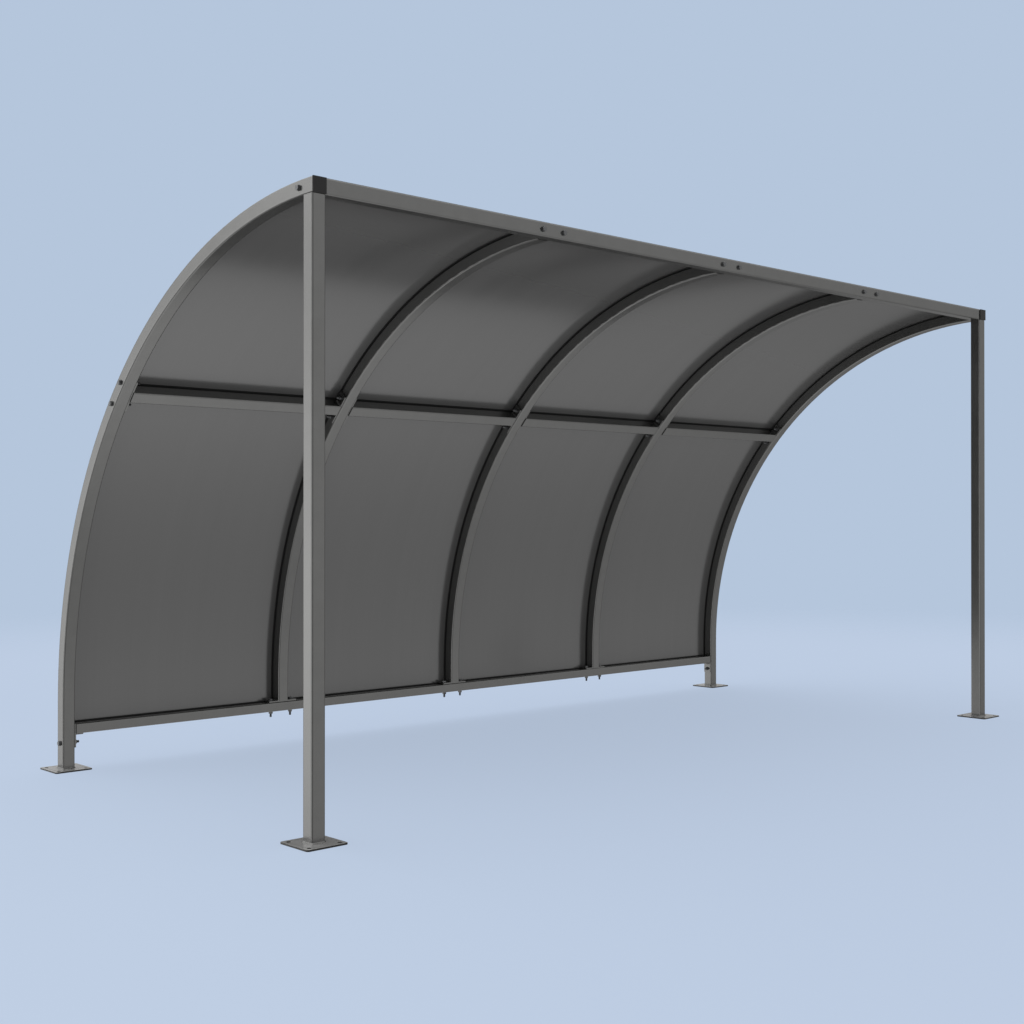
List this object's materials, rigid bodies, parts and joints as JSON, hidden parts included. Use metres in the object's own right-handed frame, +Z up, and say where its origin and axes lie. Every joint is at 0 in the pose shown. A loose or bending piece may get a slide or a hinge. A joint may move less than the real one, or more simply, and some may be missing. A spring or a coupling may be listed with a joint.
{
  "type": "bike shelter",
  "caption": "Free-standing open bike shelter with bent tube arches on base plates, front posts, a header beam and a curved sheet skin that makes the rear wall and roof.",
  "frame": {"origin": "on the floor under the centre of the shelter's bounding box", "axes": "+X along the length, +Y to the closed rear side, +Z up"},
  "size_m": [4.1, 1.84, 2.0139],
  "materials": {
    "frame_coat": "satin grey powder coat on square steel tube",
    "plate_coat": "satin grey powder coat on flat steel plate",
    "sheet_coat": "satin dark grey coil coat on steel sheet",
    "cap_plastic": "black moulded polyethylene",
    "seal_rubber": "black EPDM strip",
    "bolt_steel": "dark zinc plated"
  },
  "bodies": {
    "root": {"end_arch_left": "frame_coat", "end_arch_right": "frame_coat", "front_post_left": "frame_coat", "front_post_right": "frame_coat", "header_beam": "frame_coat", "header_end_plate_left": "frame_coat", "header_end_plate_right": "frame_coat", "bottom_rail": "frame_coat", "rail_bracket_left": "frame_coat", "rail_bracket_right": "frame_coat", "rib_1": "frame_coat", "rib_2": "frame_coat", "rib_3": "frame_coat", "mid_rail_1": "frame_coat", "mid_rail_2": "frame_coat", "mid_rail_3": "frame_coat", "mid_rail_4": "frame_coat", "front_base_plate_left": "plate_coat", "front_base_plate_right": "plate_coat", "rear_base_plate_left": "plate_coat", "rear_base_plate_right": "plate_coat", "lower_sheet_1": "sheet_coat", "lower_sheet_2": "sheet_coat", "lower_sheet_3": "sheet_coat", "lower_sheet_4": "sheet_coat", "upper_sheet_1": "sheet_coat", "upper_sheet_2": "sheet_coat", "upper_sheet_3": "sheet_coat", "upper_sheet_4": "sheet_coat", "end_cap_left": "cap_plastic", "end_cap_right": "cap_plastic", "end_seal_left": "seal_rubber", "end_seal_right": "seal_rubber", "rib_seal_1": "seal_rubber", "rib_seal_2": "seal_rubber", "rib_seal_3": "seal_rubber", "mid_rail_seals": "seal_rubber", "header_seals": "seal_rubber", "bottom_rail_seals": "seal_rubber"}
  },
  "joints": []
}
